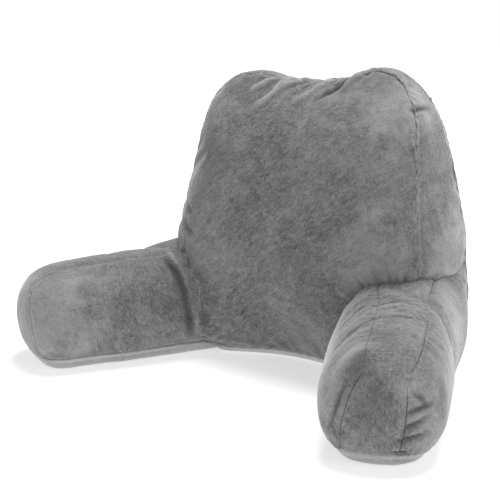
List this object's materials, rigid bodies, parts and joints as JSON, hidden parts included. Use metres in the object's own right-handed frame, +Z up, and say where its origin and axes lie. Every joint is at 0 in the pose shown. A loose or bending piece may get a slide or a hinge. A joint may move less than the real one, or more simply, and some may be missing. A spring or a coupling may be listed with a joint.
{
  "type": "reading pillow",
  "caption": "Filled reading pillow in grey plush: a crowned, leaning backrest cushion with a padded armrest sewn to each side, resting flat on a bed or floor",
  "frame": {"origin": "centre of the footprint's bounding box, on the surface that the pillow rests on", "axes": "+X to the right of the picture's object, from arm to arm; +Z up; the sitter faces -Y, so the arms reach towards -Y"},
  "size_m": [0.7855, 0.4331, 0.4596],
  "materials": {
    "plush": "short-pile grey plush, matt with a soft pale sheen at grazing angles",
    "plush_arm": "short-pile grey plush, matt with a soft pale sheen at grazing angles"
  },
  "bodies": {
    "root": {"backrest": "plush", "left_arm": "plush_arm", "right_arm": "plush_arm"}
  },
  "joints": []
}
